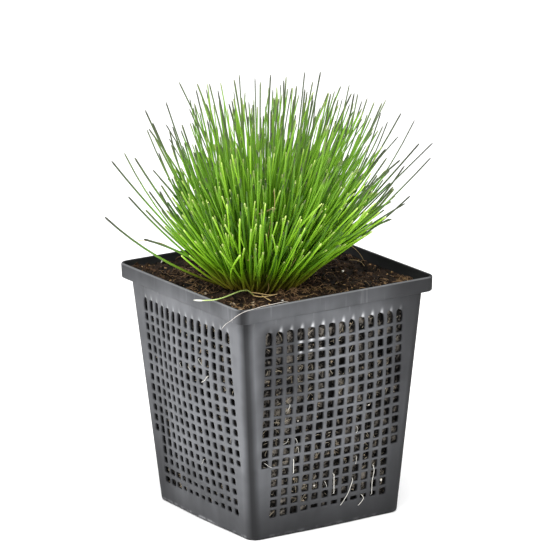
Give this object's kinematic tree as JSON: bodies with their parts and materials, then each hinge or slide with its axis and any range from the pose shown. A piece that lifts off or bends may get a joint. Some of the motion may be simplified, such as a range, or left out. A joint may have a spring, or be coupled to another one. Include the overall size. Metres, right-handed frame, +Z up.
{
  "type": "potted fiber optic grass",
  "caption": "Dense fan of thread-like green leaves growing from dark soil in a square, slightly tapered black mesh pot with a stepped collar.",
  "frame": {"origin": "centre of the pot's underside, on the surface that the pot stands on", "axes": "+Z up; the four pot walls face along X and Y; -Y is the front, the picture's right-hand wall, and -X is the picture's left-hand wall"},
  "size_m": [0.1353, 0.1326, 0.1786],
  "materials": {
    "pot_plastic": "satin injection-moulded, slightly streaked and dusty",
    "potting_soil": "loose, crumbly, damp, with straw fibres and a few white grains",
    "grass": "smooth, slightly waxy, darker inside the clump and straw-coloured at the foot",
    "pale_leaf": "dull, bleached towards the tip"
  },
  "bodies": {
    "root": {"pot": "pot_plastic", "soil": "potting_soil", "grass_tuft": "grass", "outer_blade_01": "grass", "outer_blade_02": "grass", "outer_blade_03": "grass", "outer_blade_04": "grass", "outer_blade_05": "grass", "outer_blade_06": "grass", "outer_blade_07": "grass", "outer_blade_08": "grass", "outer_blade_09": "grass", "outer_blade_10": "grass", "outer_blade_11": "grass", "outer_blade_12": "grass", "outer_blade_13": "grass", "outer_blade_14": "grass", "outer_blade_15": "grass", "outer_blade_16": "grass", "outer_blade_17": "grass", "outer_blade_18": "grass", "outer_blade_19": "grass", "outer_blade_20": "grass", "outer_blade_21": "grass", "outer_blade_22": "grass", "outer_blade_23": "grass", "outer_blade_24": "grass", "fallen_blade": "pale_leaf"}
  },
  "joints": []
}
